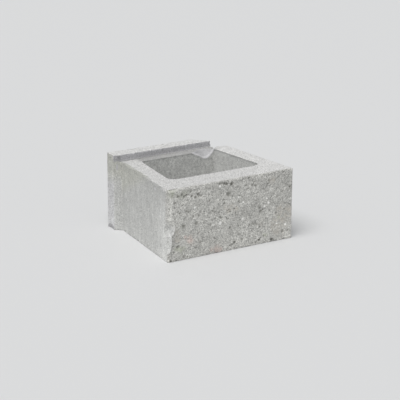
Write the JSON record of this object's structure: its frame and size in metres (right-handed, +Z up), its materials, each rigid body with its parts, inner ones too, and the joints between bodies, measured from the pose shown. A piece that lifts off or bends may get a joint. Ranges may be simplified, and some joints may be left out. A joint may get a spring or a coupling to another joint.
{
  "type": "concrete planter block",
  "caption": "Dry-cast concrete planter and wall block with an open planting core, a rough split face and a raised rear lip with ears.",
  "frame": {"origin": "middle of the base, at the centre of the block's bounding box in plan", "axes": "+X along the split face to its right end, +Y from the split face to the lip at the back, +Z up"},
  "size_m": [0.3998, 0.352, 0.218],
  "materials": {
    "concrete": "dry-cast grey concrete, fine open grain, rough split front face"
  },
  "bodies": {
    "root": {"planter_block": "concrete"}
  },
  "joints": []
}
